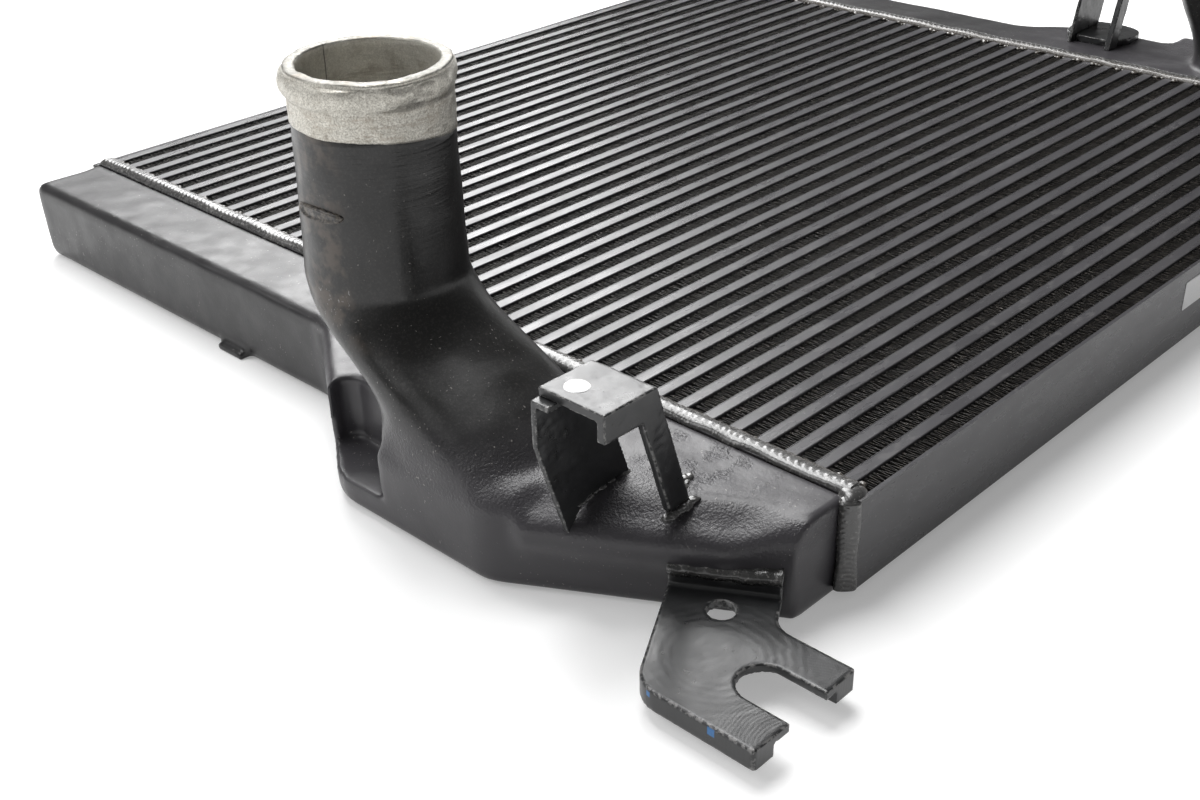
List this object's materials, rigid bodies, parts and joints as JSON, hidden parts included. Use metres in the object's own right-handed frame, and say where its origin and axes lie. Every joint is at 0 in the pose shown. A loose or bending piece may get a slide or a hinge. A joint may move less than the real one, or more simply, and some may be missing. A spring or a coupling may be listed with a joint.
{
  "type": "intercooler",
  "caption": "Bar-and-plate charge-air intercooler with a finned core, two cast end tanks with upright hose necks, and welded mounting brackets.",
  "frame": {"origin": "middle of the plane that the two tanks' back faces lie in, 4 mm behind the core's back face", "axes": "+X along the charge passages from the near tank to the far tank, +Y along the stack away from the fork bracket, +Z from the tanks' back faces to the front face and the hose necks"},
  "size_m": [0.848, 0.654, 0.2088],
  "materials": {
    "cast_tank": "satin black paint over cast metal, bare on the hose necks",
    "core_bar": "satin black paint",
    "fin_sheet": "matte black paint",
    "turbulator_sheet": "bare brazed sheet",
    "weld": "painted weld bead",
    "bracket_plate": "satin black paint"
  },
  "bodies": {
    "root": {"near_tank": "cast_tank", "far_tank": "cast_tank", "near_core_weld": "weld", "far_core_weld": "weld", "charge_passage_01": "core_bar", "charge_passage_02": "core_bar", "charge_passage_03": "core_bar", "charge_passage_04": "core_bar", "charge_passage_05": "core_bar", "charge_passage_06": "core_bar", "charge_passage_07": "core_bar", "charge_passage_08": "core_bar", "charge_passage_09": "core_bar", "charge_passage_10": "core_bar", "charge_passage_11": "core_bar", "charge_passage_12": "core_bar", "charge_passage_13": "core_bar", "charge_passage_14": "core_bar", "charge_passage_15": "core_bar", "charge_passage_16": "core_bar", "charge_passage_17": "core_bar", "charge_passage_18": "core_bar", "charge_passage_19": "core_bar", "charge_passage_20": "core_bar", "charge_passage_21": "core_bar", "charge_passage_22": "core_bar", "charge_passage_23": "core_bar", "charge_passage_24": "core_bar", "charge_passage_25": "core_bar", "charge_passage_26": "core_bar", "charge_passage_27": "core_bar", "charge_passage_28": "core_bar", "charge_passage_29": "core_bar", "charge_passage_30": "core_bar", "charge_passage_31": "core_bar", "charge_passage_32": "core_bar", "charge_passage_33": "core_bar", "charge_passage_34": "core_bar", "charge_passage_35": "core_bar", "charge_passage_36": "core_bar", "charge_passage_37": "core_bar", "charge_passage_38": "core_bar", "air_fins": "fin_sheet", "turbulators": "turbulator_sheet", "near_end_bars": "core_bar", "far_end_bars": "core_bar", "right_side_plate": "core_bar", "left_side_plate": "core_bar", "near_hat_plate": "bracket_plate", "near_hat_leg": "bracket_plate", "far_hat_plate": "bracket_plate", "far_hat_leg": "bracket_plate", "far_pad": "bracket_plate", "fork_bracket": "bracket_plate", "fork_weld": "weld"}
  },
  "joints": []
}
